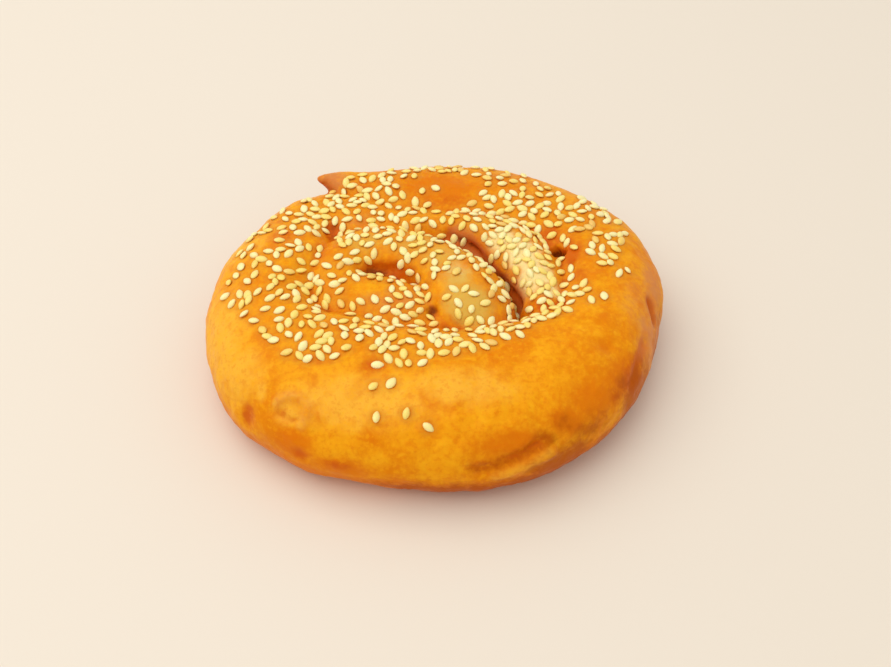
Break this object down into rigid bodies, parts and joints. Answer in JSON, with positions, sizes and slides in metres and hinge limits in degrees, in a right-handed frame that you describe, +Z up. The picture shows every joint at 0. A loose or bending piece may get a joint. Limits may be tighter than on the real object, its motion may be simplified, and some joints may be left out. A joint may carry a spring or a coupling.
{
  "type": "fried savory pancake",
  "caption": "Round fried pancake of coiled bread dough with a free tail, a broad middle lobe and sesame seeds on top.",
  "frame": {"origin": "on the floor, under the middle of the pancake's box", "axes": "+Z up out of the seeded top, +X along the wider side to the right, +Y towards the back, where the coil's tail lies at the left"},
  "size_m": [0.1245, 0.1113, 0.0294],
  "materials": {
    "fried_dough": "Fried bread dough with an oily sheen: golden orange, darker orange and reddish brown low on the flanks and in the seams, pale cream where the middle strands touched the pan least.",
    "sesame_seed": "Hulled white sesame, cream to pale yellow, softly glossy with oil."
  },
  "bodies": {
    "root": {"pancake": "fried_dough"}
  },
  "joints": []
}
